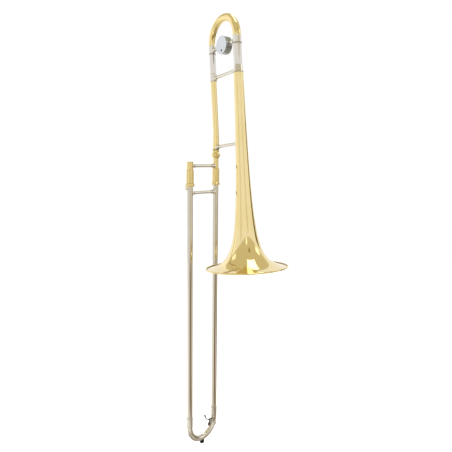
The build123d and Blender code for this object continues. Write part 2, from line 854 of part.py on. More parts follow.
def bell_rim_wire():
    wire = bell_bead_radius - bell_bead_wall - bell_wire_clearance
    return revolve(Plane.XZ * (Pos(*bead_centre()) * Circle(wire)), Axis.Z)


def receiver_x(s):
    """Where the slide's axis passes a height of bell_frame below the bend."""
    return s * math.tan(tilt)


def upper_bell_brace():
    return in_frame(brace_tube(
        0, neck_sleeve_radius + ferrule_wall, bell_spacing, bell_sleeve_radius + ferrule_wall, upper_brace_s,
    ))


def lower_bell_brace():
    return in_frame(brace_tube(
        receiver_x(lower_brace_s), neck_receiver_radius, bell_spacing, bell_radius(lower_brace_s), lower_brace_s,
    ))


def upper_neck_flange():
    wall = neck_sleeve_radius + ferrule_wall
    return in_frame(round_flange(on_upper, 0, wall, 1, upper_brace_s, short_plate)) - neck_ferrule()


def upper_bell_flange():
    """Stands on the tapered bell ferrule."""
    corners = bell_ferrule_outline()
    axis = [(0, corners[-1][1]), (0, corners[0][1])]
    thicker = [(radius + flange_plate, height) for radius, height in corners]
    blank = on_bell(turned(*corners, *axis))
    skin = on_bell(turned(*thicker, *axis)) - blank
    wall = bell_sleeve_radius + ferrule_wall
    return in_frame(brace_flange(bell_spacing, wall, -1, upper_brace_s, blank, skin, short_plate))


def lean(shape):
    """Turns a shape on Z to the slide's direction, through the lower brace's end, within bell_frame."""
    return Pos(receiver_x(lower_brace_s), 0, lower_brace_s) * Rot(0, neck_tilt, 0) * shape


def lower_neck_flange():
    """Stands on the neck receiver, which leans across bell_frame."""
    half = 2 * lower_neck_plate
    bar = lean(disc(neck_receiver_radius, -half, half))
    skin = lean(pipe(neck_receiver_radius + flange_plate, neck_receiver_radius, -half, half))
    place = receiver_x(lower_brace_s)
    flange = brace_flange(place, neck_receiver_radius, 1, lower_brace_s, bar, skin, lower_neck_plate)
    return in_frame(flange) - neck_receiver()


def lower_bell_flange():
    """Stands on the bell's stem."""
    horn = on_bell(bell_blank(0))
    skin = on_bell(bell_blank(flange_plate)) - horn
    wall = bell_radius(lower_brace_s)
    return in_frame(brace_flange(bell_spacing, wall, -1, lower_brace_s, horn, skin, tall_plate))


def bell_brace_flanges():
    return Compound(children=[upper_neck_flange(), upper_bell_flange(), lower_neck_flange(), lower_bell_flange()])


# ---- Tuning slide
def tuning_leg(sleeve_radius):
    outer = sleeve_radius - sleeve_wall - tuning_clearance
    return pipe(outer, outer - leg_wall, tuning_bow_end - leg_length, tuning_bow_end)


def neck_side_leg():
    return in_frame(tuning_leg(neck_sleeve_radius))


def bell_side_leg():
    return in_frame(on_bell(tuning_leg(bell_sleeve_radius)))


def tuning_ferrule(sleeve_radius, bow_tube, length):
    """Covers the joint between an inner leg and the tuning bow's end."""
    leg = sleeve_radius - sleeve_wall - tuning_clearance
    band = sleeve_radius + tuning_ferrule_wall
    outer = tuning_wall(sleeve_radius)
    low = tuning_ferrule_bottom
    top = low + length
    return turned(
        (leg, low), (band, low), (band, low + 2.5), (outer, low + 2.9), (outer, top - 0.6),
        (bow_tube + 0.1, top), (bow_tube, top), (bow_tube, tuning_bow_end), (leg, tuning_bow_end),
    )


def tuning_wall(sleeve_radius):
    """A tuning ferrule's outer radius above its lower band."""
    return sleeve_radius + tuning_ferrule_wall - tuning_ferrule_step


def neck_side_tuning_ferrule():
    return in_frame(tuning_ferrule(neck_sleeve_radius, tuning_bow_neck_radius, neck_tuning_ferrule_length))


def bell_side_tuning_ferrule():
    return in_frame(on_bell(
        tuning_ferrule(bell_sleeve_radius, tuning_bow_bell_radius, bell_tuning_ferrule_length)
    ))


def tuning_bow_bar(extra):
    """The tuning bow as a tapered bar, smaller than its outer surface by extra all round."""
    start = tuning_bow_neck_radius - extra
    end = tuning_bow_bell_radius - extra
    reach = bell_spacing / 2
    arc = ThreePointArc((0, 0, tuning_bow_s), (reach, 0, tuning_bow_s + reach), (bell_spacing, 0, tuning_bow_s))
    sections = []
    for share in (0, 0.25, 0.5, 0.75, 1):
        place = Plane(origin=arc @ share, z_dir=arc % share)
        sections.append(place * Circle(start + (end - start) * share))
    bend = sweep(sections, path=arc, multisection=True)
    first = disc(start, tuning_bow_end, tuning_bow_s)
    last = on_bell(disc(end, tuning_bow_end, tuning_bow_s))
    return bend + first + last


def tuning_bow():
    return in_frame(tuning_bow_bar(0) - tuning_bow_bar(tuning_bow_wall))


def tuning_brace():
    return in_frame(brace_tube(
        0, tuning_wall(neck_sleeve_radius), bell_spacing, tuning_wall(bell_sleeve_radius), tuning_brace_s,
    ))


def tuning_brace_flanges():
    first = round_flange(on_upper, 0, tuning_wall(neck_sleeve_radius), 1, tuning_brace_s, short_plate)
    last = round_flange(on_bell, bell_spacing, tuning_wall(bell_sleeve_radius), -1, tuning_brace_s, short_plate)
    return Compound(children=[
        in_frame(first) - neck_side_tuning_ferrule(), in_frame(last) - bell_side_tuning_ferrule(),
    ])


def weight_half(side):
    """Half of the drum-shaped counterweight, on one side of the brace."""
    thickness = (weight_thickness - weight_seam) / 2
    middle = side * (weight_seam + thickness) / 2
    drum = Rot(90, 0, 0) * Cylinder(weight_radius, thickness)
    outer_edge = drum.edges().filter_by(GeomType.CIRCLE).sort_by(Axis.Y)[-1 if side > 0 else 0]
    drum = Pos(weight_centre.X, middle, weight_centre.Z) * fillet(outer_edge, weight_edge)
    return drum - rod_x(brace_radius, 0, bell_spacing, tuning_brace_s)


def screw_place():
    return (weight_centre.X, weight_centre.Z - weight_screw_drop)


def counterweight_front():
    face = -weight_thickness / 2
    recess = rod_y(weight_screw_head_radius + 0.2, face - 1, face + weight_screw_recess, *screw_place())
    hole = rod_y(weight_screw_radius, face, 0, *screw_place())
    return in_frame(weight_half(-1) - recess - hole)


def counterweight_back():
    return in_frame(weight_half(1) - rod_y(weight_screw_radius, 0, weight_screw_tip, *screw_place()))


def counterweight_screw():
    seat = -weight_thickness / 2 + weight_screw_recess
    head = rod_y(weight_screw_head_radius, seat - weight_screw_head_length, seat, *screw_place())
    shank = rod_y(weight_screw_radius, seat, weight_screw_tip, *screw_place())
    place = screw_place()
    hexagon = Plane.XZ * RegularPolygon(weight_screw_socket, 6)
    key = extrude(hexagon, amount=weight_screw_socket_depth, both=True)
    key = Pos(place[0], seat - weight_screw_head_length, place[1]) * key
    return in_frame(head + shank - key)


# ---- Every node
solids["mouthpiece_receiver"] = mouthpiece_receiver()
solids["leadpipe"] = leadpipe()
solids["upper_inner_tube"] = on_upper(inner_tube(-receiver_depth))
solids["lower_inner_tube"] = on_lower(inner_tube(hand_brace_z))
solids["upper_stocking"] = on_upper(stocking())
solids["lower_stocking"] = on_lower(stocking())
solids["upper_cork_barrel"] = on_upper(upper_cork_barrel())
solids["lower_cork_barrel"] = on_lower(lower_cork_barrel())
solids["upper_barrel_felt"] = on_upper(felt(upper_barrel_top, receiver_skirt_radius))
solids["lower_barrel_felt"] = on_lower(felt(lower_barrel_top, inner_radius))
solids["inner_slide_brace"] = inner_brace()
solids["inner_brace_flanges"] = inner_brace_flanges()
solids["slide_tenon"] = on_lower(slide_tenon())
solids["bell_lock_nut"] = on_lower(bell_lock_nut())
solids["slide_lock_ring"] = on_upper(slide_lock_ring())
solids["upper_outer_tube"] = on_upper(outer_tube())
solids["lower_outer_tube"] = on_lower(outer_tube())
solids["outer_slide_brace"] = outer_brace()
solids["outer_brace_saddles"] = outer_brace_saddles()
solids["slide_lock_lug"] = on_upper(slide_lock_lug())
solids["bow_ferrules"] = Compound(children=[on_upper(bow_ferrule()), on_lower(bow_ferrule())])
solids["slide_bow"] = slide_bow()
solids["bow_guard"] = bow_guard()
solids["bumper_stud"] = bumper_stud()
solids["rubber_bumper"] = rubber_bumper()
solids["water_key_saddle"] = water_key_saddle()
solids["water_key_nipple"] = water_key_nipple()
solids["water_key_screw"] = water_key_screw()
solids["water_key_spring"] = water_key_spring()
solids["water_key_lever"] = water_key_lever()
solids["water_key_cork"] = water_key_cork()
solids["neck_receiver"] = neck_receiver()
solids["neckpipe"] = neckpipe()
solids["neck_ferrule"] = neck_ferrule()
solids["neck_side_sleeve"] = neck_side_sleeve()
solids["bell"] = in_frame(on_bell(bell()))
solids["bell_rim_wire"] = in_frame(on_bell(bell_rim_wire()))
solids["bell_ferrule"] = bell_ferrule()
solids["bell_side_sleeve"] = bell_side_sleeve()
solids["upper_bell_brace"] = upper_bell_brace()
solids["lower_bell_brace"] = lower_bell_brace()
solids["bell_brace_flanges"] = bell_brace_flanges()
solids["neck_side_tuning_leg"] = neck_side_leg()
solids["bell_side_tuning_leg"] = bell_side_leg()
solids["neck_side_tuning_ferrule"] = neck_side_tuning_ferrule()
solids["bell_side_tuning_ferrule"] = bell_side_tuning_ferrule()
solids["tuning_bow"] = tuning_bow()
solids["tuning_brace"] = tuning_brace()
solids["tuning_brace_flanges"] = tuning_brace_flanges()
solids["counterweight_front"] = counterweight_front()
solids["counterweight_back"] = counterweight_back()
solids["counterweight_screw"] = counterweight_screw()

for name, solid in solids.items():
    export_step(solid, f"parts/{name}.step")
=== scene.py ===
"""The looks of the trombone: materials, fine detail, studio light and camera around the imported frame."""
import json
import math

import bmesh
import bpy
from mathutils import Matrix, Vector


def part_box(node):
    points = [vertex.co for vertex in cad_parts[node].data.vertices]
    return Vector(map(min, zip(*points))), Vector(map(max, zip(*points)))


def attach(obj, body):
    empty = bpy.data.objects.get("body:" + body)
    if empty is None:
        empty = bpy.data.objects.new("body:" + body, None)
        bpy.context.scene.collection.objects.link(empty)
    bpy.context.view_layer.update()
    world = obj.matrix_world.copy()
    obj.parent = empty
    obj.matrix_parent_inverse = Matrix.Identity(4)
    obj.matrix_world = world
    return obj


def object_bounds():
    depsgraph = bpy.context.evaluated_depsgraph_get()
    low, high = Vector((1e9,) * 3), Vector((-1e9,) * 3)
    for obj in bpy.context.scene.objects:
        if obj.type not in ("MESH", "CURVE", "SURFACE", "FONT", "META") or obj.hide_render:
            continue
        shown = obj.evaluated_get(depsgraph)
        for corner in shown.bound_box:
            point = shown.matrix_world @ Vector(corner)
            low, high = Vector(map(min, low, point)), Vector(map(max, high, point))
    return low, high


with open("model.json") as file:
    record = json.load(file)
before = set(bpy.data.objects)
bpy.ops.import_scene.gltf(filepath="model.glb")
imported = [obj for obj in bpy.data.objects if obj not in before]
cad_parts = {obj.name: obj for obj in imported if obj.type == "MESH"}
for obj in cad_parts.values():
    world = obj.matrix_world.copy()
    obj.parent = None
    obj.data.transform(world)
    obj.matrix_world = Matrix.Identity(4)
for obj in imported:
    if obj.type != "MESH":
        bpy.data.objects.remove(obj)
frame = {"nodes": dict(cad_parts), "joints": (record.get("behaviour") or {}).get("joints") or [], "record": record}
cad_low, cad_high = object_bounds()
nodes = frame["nodes"]

MM = 0.001
UP = (0, 0, 1)

# ---- Level directions of the studio: FRONT is from the instrument to the viewer, SIDE to the viewer's right
FRONT = (-0.708, -0.706, 0)
SIDE = (0.706, -0.708, 0)

# ---- Camera: its place in metres, its turns in degrees, its lens and sensor in millimetres
CAMERA_PLACE = (-0.78222, -0.90741, 0.02023)
CAMERA_YAW = -45.09
CAMERA_PITCH = 8.53
CAMERA_ROLL = 0.67
CAMERA_LENS = 38.33
CAMERA_SENSOR = 36.0
CAMERA_NEAREST = 0.01

# ---- Linear colours of the materials
BRASS = (0.850, 0.700, 0.350)
BRASS_DEEP = (0.825, 0.660, 0.300)
BRASS_DARK = (0.150, 0.095, 0.035)
BRASS_DARKEST = (0.070, 0.042, 0.016)
NICKEL = (0.730, 0.695, 0.625)
NICKEL_WARM = (0.705, 0.665, 0.590)
SILVER_AGED = (0.330, 0.295, 0.235)
SILVER_AGED_DEEP = (0.230, 0.200, 0.155)
SILVER_TARNISHED = (0.150, 0.128, 0.096)
SILVER_TARNISHED_DEEP = (0.090, 0.074, 0.052)
CHROME = (0.600, 0.640, 0.665)
CHROME_DULL = (0.560, 0.590, 0.610)
STEEL = (0.430, 0.420, 0.400)
RUBBER = (0.006, 0.006, 0.007)
RUBBER_DUSTY = (0.018, 0.017, 0.017)
FELT = (0.500, 0.470, 0.410)
FELT_SHADE = 0.55
CORK = (0.420, 0.240, 0.110)
CORK_LIGHT = 1.3
CORK_SPECK = (0.130, 0.060, 0.025)
# Dark brown blended into metal corners: painted shade, standing also for grime
SHADE_AND_GRIME = (0.110, 0.070, 0.028)
# Grey blended over the counterweight's round side: painted shade
PAINTED_SIDE_SHADE = (0.160, 0.155, 0.145)
PAPER = (0.90, 0.90, 0.895)
PAPER_PALE = (0.93, 0.93, 0.925)

# ---- Grain of the materials, in noise cells per metre
METAL_CLOUDS = 14
METAL_STREAKS = 420
METAL_BRUSHING = 900
METAL_SMUDGES = 90
METAL_PITS = 2600
RUBBER_DUST = 400
RUBBER_GRAIN = 5000
FELT_FIBRES = 3500
FELT_CLOUDS = 300
CORK_CELLS = 1600
CORK_SPECKS = 1200
PAPER_CLOUDS = 6

# ---- Metal finish: how far painted shade, standing also for grime, reaches out of a corner, how strongly it, the pits and the streaks show
CORNER_SHADE_REACH = 1.6 * MM
CORNER_SHADE_SHARE = 0.75
PIT_SHARE = 0.12
STREAK_SHARE = 0.4
SHADE_AND_GRIME_ROUGHNESS = 0.3
COAT_ROUGHNESS = 0.05

# ---- Beads, in millimetres: their outline, out from the tube's wall and along it, and how far in they sit
BEAD_OUTLINE = ((-0.30, 0.42), (0.10, 0.36), (0.24, 0.16), (0.24, -0.16), (0.10, -0.36), (-0.30, -0.42))
FERRULE_BEAD_INSET = 0.9
BARREL_BEAD_INSET = 1.6

# ---- Knurling, in millimetres: its section, and the place and half width of each band
KNURL_ROOT = 0.3
KNURL_CREST = 0.04
KNURL_CHAMFER = 0.25
KNURL_TOOTH = 0.16
NUT_BAND_STEP = 2.3
NUT_BAND_DROP = 1.0
NUT_BAND_HALF = 0.8
NUT_GRIP_LIFT = 7.9
NUT_GRIP_HALF = 1.0
RING_GRIP_DROP = 4.0
RING_GRIP_HALF = 2.2

# ---- The counterweight's seam, in millimetres out from the drum's axis and along it
WEIGHT_SEAM_OUTLINE = ((19.8, 0.18), (21.25, 0.18), (21.25, -0.18), (19.8, -0.18))

# ---- The receiver's thread, in millimetres: its ends above the origin, and its section
THREAD_START = 28.80
THREAD_STOP = 31.50
THREAD_PITCH = 0.75
THREAD_ROOT = 7.50
THREAD_CREST = 7.98
THREAD_FLANK = 0.30
THREAD_FLAT = 0.06

# ---- The guard's seams, in millimetres: the bow tube's radius, the solder's radius and how far it stands out
BOW_TUBE = 7.35
SEAM_RADIUS = 0.42
SEAM_LIFT = 0.15

# ---- The guard's seams, in degrees: how far round the tube they lie, their start on the bow, and their sweep
SEAM_TILT = 41
SEAM_START = 18
SEAM_SWEEP = 140

# ---- How finely the detail pieces are made: steps round a turn, teeth round a band, points along a seam
LATHE_STEPS = 96
STEPS_PER_TOOTH = 6
NUT_BAND_TEETH = 60
GRIP_TEETH = 72
THREAD_STEPS = 60
SEAM_POINTS = 48

# ---- Which points tube_end() reads, in metres: those this near a tube's axis, and this near its end
NEAR_TUBE = 0.02
RIM_DEPTH = 0.0012

# ---- Floor, in metres: its drop below the drawn slide, and its reach before, behind and to each side
FLOOR_DROP = 0.02
FLOOR_BEFORE = 3
FLOOR_BEHIND = 5
FLOOR_BESIDE = 4

# ---- How brightly the floor glows, so that it stays as white as the backdrop
FLOOR_GLOW = 0.45

# ---- What stands round the studio. Turns run in degrees from FRONT towards SIDE, and rises from the level.
# A row holds turns, rises, softness of the upright edges, softness of the level edges, and linear colour.
WALLS = (
    ((-160, -98), (-90, 90), 8, 8, (1.16, 1.16, 1.17)),      # white screen, behind on the left
    ((98, 152), (-90, -2), 7, 4, (0.72, 0.66, 0.56)),        # low tan wall, behind on the right
    ((-14, 42), (-12, -2), 5, 3, (0.62, 0.57, 0.47)),        # top of the bench in front
    ((-14, 48), (-30.5, -12), 5, 2, (0.25, 0.155, 0.07)),    # dark front of that bench
    ((70, 102), (-60, -9), 6, 4, (0.40, 0.36, 0.28)),        # cupboard on the right
    ((-94, -78), (-15, -1), 4, 3, (0.42, 0.40, 0.36)),       # grey box on the left
    ((60, 80), (-15, -1), 4, 3, (0.34, 0.31, 0.25)),         # dark box on the right
    ((52, 80), (-46, -28), 4, 3, (0.20, 0.17, 0.12)),        # dark foot below it
    ((80, 135), (-46, -28), 6, 3, (0.62, 0.58, 0.50)),       # tan foot beside that
    ((-60, 50), (-90, -46), 14, 6, (0.66, 0.61, 0.52)),      # ground in front
    ((-180, 180), (-90, -60), 1, 8, (0.74, 0.70, 0.61)),     # ground underneath
    ((100, 126), (-30, 13), 3, 3, (0.22, 0.18, 0.09)),       # dark door, behind on the right
    ((-56, -38), (-14, 18), 4, 3, (0.86, 0.84, 0.80)),       # pale post on the left
    ((17, 33), (-14, 18), 4, 3, (0.82, 0.79, 0.73)),         # pale post before the bench
    ((66, 82), (-1, 15), 4, 3, (0.86, 0.84, 0.80)),          # pale box on top of the dark one
    ((-3, 5), (-12, -1), 2, 3, (0.40, 0.34, 0.20)),          # narrow dark gap in the bench's top
)
CEILING = (
    ((74, 106), (22, 33), 2, 2, (1.7, 1.7, 1.7)),            # lamp on the right
    ((-112, -88), (26, 40), 3, 3, (1.4, 1.35, 1.35)),        # lamp on the left
    ((-4, 10), (22, 28), 2, 2, (1.5, 1.5, 1.45)),            # lamp in front
    ((14, 30), (34, 43), 4, 3, (0.40, 0.33, 0.18)),          # dark panel, above and right of that lamp
)

# ---- The room behind those: its walls change colour across a band of rises
WALL_LOW = (1.06, 1.02, 0.95)
WALL_HIGH = (1.02, 1.03, 1.08)
WALL_CHANGE = (-8, 12)

# ---- Dark clutter on the ground, below a band of rises
CLUTTER = (0.40, 0.34, 0.23)
CLUTTER_SPREAD = 4.0
CLUTTER_SQUEEZE = (1, 1, 2.2)
CLUTTER_EDGE = (0.54, 0.58)
CLUTTER_FADE = (-33, -38)

# ---- The tan ceiling starts at a band of rises, and higher at turns far behind
CEILING_COLOUR = (0.71, 0.66, 0.51)
CEILING_EDGE = (19.5, 22.5)
CEILING_LIFT = 17
CEILING_LIFT_TURNS = (112, 176)

# ---- The four-sided soft box overhead: each side is a share of FRONT, a share of SIDE, and their sum's limit
OVERHEAD_SIDES = ((1, 0.396, 0.35), (-0.338, 1, 0.375), (0, -1, 0.02), (-1, -1.02, 0.565))
OVERHEAD_EDGE = 0.02
OVERHEAD_COLOUR = (2.8, 2.8, 2.75)
OVERHEAD_HEIGHT = (0.5, 0.6)

# ---- The plain white that fills the picture behind the instrument
BACKDROP_STRENGTH = 1.02

# ---- Where the area lights point
LIGHT_AIM = (0.05, -0.05, -0.4)

# ---- Sockets of a colour Mix node, which share their names with those of its other kinds
MIX_FIRST = 6
MIX_SECOND = 7
MIX_RESULT = 2


# ---- What the frame says
def joint_named(name):
    """A joint of the frame."""
    return next(joint for joint in frame["joints"] if joint["name"] == name)


def node_middle(*names):
    """The middle of the box round some nodes."""
    corners = [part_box(name) for name in names]
    low = [min(pair[0][k] for pair in corners) for k in range(3)]
    high = [max(pair[1][k] for pair in corners) for k in range(3)]
    return (Vector(low) + Vector(high)) / 2


PULL_AXIS = tuple(joint_named("tuning_slide_pull")["axis"])
BRACE_AXIS = (node_middle("bell_side_sleeve") - node_middle("neck_side_sleeve")).normalized()
DRUM_AXIS = Vector(PULL_AXIS).cross(BRACE_AXIS).normalized()


# ---- Node helpers
def add(tree, kind, **settings):
    """A new node with the given settings."""
    node = tree.nodes.new(kind)
    for name, value in settings.items():
        setattr(node, name, value)
    return node


def put(tree, target, value):
    """Links a socket to target, or sets a plain value on it."""
    if isinstance(value, bpy.types.NodeSocket):
        tree.links.new(value, target)
    else:
        target.default_value = value


def calc(tree, operation, first, second=0.0):
    """The result of a sum or other operation on sockets or plain numbers."""
    node = add(tree, "ShaderNodeMath", operation=operation)
    put(tree, node.inputs[0], first)
    put(tree, node.inputs[1], second)
    return node.outputs[0]


def times(tree, first, second):
    return calc(tree, "MULTIPLY", first, second)


def plus(tree, first, second):
    return calc(tree, "ADD", first, second)


def dot(tree, vector, direction):
    """How far a vector socket points along a fixed direction."""
    node = add(tree, "ShaderNodeVectorMath", operation="DOT_PRODUCT")
    tree.links.new(vector, node.inputs[0])
    node.inputs[1].default_value = direction
    return node.outputs["Value"]


def ramp(tree, value, low, high, start=0.0, end=1.0):
    """Goes smoothly from start to end as value goes from low to high."""
    node = add(tree, "ShaderNodeMapRange", interpolation_type="SMOOTHSTEP")
    put(tree, node.inputs["Value"], value)
    for name, number in (("From Min", low), ("From Max", high), ("To Min", start), ("To Max", end)):
        node.inputs[name].default_value = number
    return node.outputs[0]


def blend_colour(tree, share, first, second):
    """Goes from the first colour to the second as share goes from 0 to 1."""
    node = add(tree, "ShaderNodeMix", data_type="RGBA")
    put(tree, node.inputs["Factor"], share)
    for socket, value in ((node.inputs[MIX_FIRST], first), (node.inputs[MIX_SECOND], second)):
        put(tree, socket, value if isinstance(value, bpy.types.NodeSocket) else (*value, 1))
    return node.outputs[MIX_RESULT]


def spots(tree, where, scale, detail=3.0, rough=0.55, stretch=(1, 1, 1)):
    """A cloudy noise from 0 to 1, with cells about 1/scale across."""
    mapping = add(tree, "ShaderNodeMapping")
    mapping.inputs["Scale"].default_value = stretch
    tree.links.new(where, mapping.inputs["Vector"])
    noise = add(tree, "ShaderNodeTexNoise")
    noise.inputs["Scale"].default_value = scale
    noise.inputs["Detail"].default_value = detail
    noise.inputs["Roughness"].default_value = rough
    tree.links.new(mapping.outputs[0], noise.inputs["Vector"])
    return noise.outputs["Fac"]


def new_material(name):
    """An empty node material, its shader and its object coordinates."""
    made = bpy.data.materials.new(name)
    made.use_nodes = True
    tree = made.node_tree
    shader = tree.nodes["Principled BSDF"]
    where = add(tree, "ShaderNodeTexCoord").outputs["Object"]
    return made, tree, shader, where


def bump(tree, shader, height, strength, distance):
    """Lets a height, from 0 to 1, raise the surface by up to distance in metres."""
    node = add(tree, "ShaderNodeBump")
    node.inputs["Strength"].default_value = strength
    node.inputs["Distance"].default_value = distance
    tree.links.new(height, node.inputs["Height"])
    tree.links.new(node.outputs[0], shader.inputs["Normal"])


# ---- Materials
def metal_tone(tree, where, main, second):
    """Two near colours in faint clouds, crossed by lengthwise polishing streaks."""
    cloud = spots(tree, where, METAL_CLOUDS, detail=2)
    streak = spots(tree, where, METAL_STREAKS, stretch=(1, 1, 0.02))
    mixed = plus(tree, times(tree, cloud, 1 - STREAK_SHARE), times(tree, streak, STREAK_SHARE))
    return blend_colour(tree, ramp(tree, mixed, 0.35, 0.65), main, second)


def metal_shade_and_dirt(tree, where):
    """Painted shade in the corners between pieces, found by occlusion and standing also for grime, and a few fine
    pits.
    """
    # Ambient occlusion darkens the corners: painted shade
    corner = add(tree, "ShaderNodeAmbientOcclusion", samples=4)
    corner.inputs["Distance"].default_value = CORNER_SHADE_REACH
    corner_shade = times(tree, ramp(tree, corner.outputs["AO"], 0.80, 0.30), CORNER_SHADE_SHARE)
    pits = ramp(tree, spots(tree, where, METAL_PITS, detail=2, rough=0.4), 0.72, 0.78)
    return calc(tree, "MAXIMUM", corner_shade, times(tree, pits, PIT_SHARE))


def metal(name, main, second, rough, rough_spread, lines, coat=0.0):
    """A polished metal: two near tones, smudges, fine brushing, and painted shade, standing also for grime, in its
    corners.
    """
    made, tree, shader, where = new_material(name)
    tone = metal_tone(tree, where, main, second)
    shade_and_dirt = metal_shade_and_dirt(tree, where)
    # The base colour darkens in corners with painted shade and grime
    tree.links.new(blend_colour(tree, shade_and_dirt, tone, SHADE_AND_GRIME), shader.inputs["Base Color"])
    smudge = ramp(tree, spots(tree, where, METAL_SMUDGES, detail=5, rough=0.7), 0.45, 0.75)
    worn = plus(tree, times(tree, smudge, rough_spread), rough)
    worn = plus(tree, worn, times(tree, shade_and_dirt, SHADE_AND_GRIME_ROUGHNESS))
    tree.links.new(worn, shader.inputs["Roughness"])
    shader.inputs["Metallic"].default_value = 1.0
    shader.inputs["Coat Weight"].default_value = coat
    shader.inputs["Coat Roughness"].default_value = COAT_ROUGHNESS
    brushing = spots(tree, where, METAL_BRUSHING, detail=2, stretch=(1, 1, 6))
    bump(tree, shader, brushing, strength=lines, distance=0.02 * MM)
    return made


def paint_side_shade(made, axis, share):
    """Paints shade on a disc's turned side: darkens it where the surface doesn't face along the disc's axis."""
    tree = made.node_tree
    shader = tree.nodes["Principled BSDF"]
    facing = dot(tree, add(tree, "ShaderNodeTexCoord").outputs["Normal"], axis)
    side = ramp(tree, calc(tree, "ABSOLUTE", facing), 0.4, 0.8, start=share, end=0.0)
    plain = shader.inputs["Base Color"].links[0].from_socket
    tree.links.new(blend_colour(tree, side, plain, PAINTED_SIDE_SHADE), shader.inputs["Base Color"])
    return made


def rubber():
    """Black rubber, dusty in patches, with a fine moulded grain."""
    made, tree, shader, where = new_material("moulded_rubber")
    dust = spots(tree, where, RUBBER_DUST, detail=4, rough=0.6)
    grain = spots(tree, where, RUBBER_GRAIN, detail=2)
    tone = blend_colour(tree, ramp(tree, dust, 0.45, 0.8), RUBBER, RUBBER_DUSTY)
    tree.links.new(tone, shader.inputs["Base Color"])
    tree.links.new(ramp(tree, dust, 0.2, 0.8, start=0.6, end=0.85), shader.inputs["Roughness"])
    shader.inputs["Specular IOR Level"].default_value = 0.12
    bump(tree, shader, grain, strength=0.4, distance=0.2 * MM)
    return made


def felt():
    """Pressed felt: short fibres in cloudy grey-white."""
    made, tree, shader, where = new_material("pressed_felt")
    fibre = spots(tree, where, FELT_FIBRES, detail=5, rough=0.75)
    cloud = spots(tree, where, FELT_CLOUDS)
    dark = tuple(value * FELT_SHADE for value in FELT)
    share = times(tree, ramp(tree, fibre, 0.3, 0.7), ramp(tree, cloud, 0.2, 0.8, start=0.6))
    tree.links.new(blend_colour(tree, share, dark, FELT), shader.inputs["Base Color"])
    shader.inputs["Roughness"].default_value = 0.95
    shader.inputs["Sheen Weight"].default_value = 0.4
    bump(tree, shader, fibre, strength=0.7, distance=0.3 * MM)
    return made


def cork():
    """Pressed cork: small cells with dark specks."""
    made, tree, shader, where = new_material("pressed_cork")
    cells = add(tree, "ShaderNodeTexVoronoi")
    cells.inputs["Scale"].default_value = CORK_CELLS
    tree.links.new(where, cells.inputs["Vector"])
    speck = ramp(tree, spots(tree, where, CORK_SPECKS), 0.60, 0.68)
    light = tuple(value * CORK_LIGHT for value in CORK)
    grain = blend_colour(tree, cells.outputs["Distance"], light, CORK)
    tree.links.new(blend_colour(tree, speck, grain, CORK_SPECK), shader.inputs["Base Color"])
    shader.inputs["Roughness"].default_value = 0.85
    bump(tree, shader, cells.outputs["Distance"], strength=0.5, distance=0.3 * MM)
    return made


# ---- The look of each material slot, and the looks of what differs from its slot
LOOKS = {
    "lacquered_brass": metal("polished_brass", BRASS, BRASS_DEEP,
                             rough=0.06, rough_spread=0.05, lines=0.04, coat=0.25),
    "nickel_silver": metal("polished_nickel_silver", NICKEL, NICKEL_WARM,
                           rough=0.07, rough_spread=0.05, lines=0.04),
    "chrome_plate": metal("polished_chrome", CHROME, CHROME_DULL, rough=0.06, rough_spread=0.06, lines=0.05),
    "spring_steel": metal("blued_steel", STEEL, CHROME_DULL, rough=0.22, rough_spread=0.10, lines=0.20),
    "black_rubber": rubber(),
    "felt": felt(),
    "cork": cork(),
}
TARNISHED = metal("tarnished_silver", SILVER_TARNISHED, SILVER_TARNISHED_DEEP,
                  rough=0.30, rough_spread=0.12, lines=0.20)
DARKENED = metal("darkened_brass", BRASS_DARK, BRASS_DARKEST, rough=0.34, rough_spread=0.12, lines=0.20)
AGED = metal("aged_silver", SILVER_AGED, SILVER_AGED_DEEP, rough=0.24, rough_spread=0.10, lines=0.16)
# Chrome whose round side is darkened with painted shade
SIDE_SHADED_CHROME = paint_side_shade(metal("chrome_with_painted_side_shade", CHROME, CHROME_DULL, rough=0.06, rough_spread=0.06, lines=0.05),
                  DRUM_AXIS, share=0.45)
OWN_LOOKS = {"water_key_lever": TARNISHED, "counterweight_front": SIDE_SHADED_CHROME, "counterweight_back": SIDE_SHADED_CHROME}


def dress_nodes():
    """Gives each node its own look, or that of its material slot."""
    for entry in frame["record"]["subparts"]:
        mesh = nodes[entry["node"]].data
        mesh.materials.clear()
        mesh.materials.append(OWN_LOOKS.get(entry["node"], LOOKS[entry["material_slot"]]))


# ---- Detail pieces
def new_object(name, data):
    """An object for some data, in the scene."""
    made = bpy.data.objects.new(name, data)
    bpy.context.scene.collection.objects.link(made)
    return made


def close_ring(made, here, following):
    """Faces between two closed rows of the same number of points."""
    for index in range(len(here)):
        after = (index + 1) % len(here)
        made.faces.new((here[index], following[index], following[after], here[after]))


def finished_mesh(name, made, look):
    """Turns a bmesh into a mesh whose faces point outwards."""
    bmesh.ops.recalc_face_normals(made, faces=made.faces)
    mesh = bpy.data.meshes.new(name)
    made.to_mesh(mesh)
    made.free()
    mesh.materials.append(look)
    return mesh


def tube_end(name, axis, top, near_x=None):
    """The middle of a straight tube's end on its axis, and its outer radius there, in metres."""
    axis = Vector(axis).normalized()
    points = [vertex.co.copy() for vertex in nodes[name].data.vertices]
    if near_x is not None:
        points = [point for point in points if abs(point.x - near_x) < NEAR_TUBE]
    pick = max if top else min
    reach = pick(point.dot(axis) for point in points)
    rim = [point for point in points if abs(point.dot(axis) - reach) < RIM_DEPTH]
    wide = max(rim, key=lambda point: (point - rim[0]).length)
    far = max(rim, key=lambda point: (point - wide).length)
    middle = (wide + far) / 2
    middle += axis * (reach - middle.dot(axis))
    return middle, (wide - far).length / 2


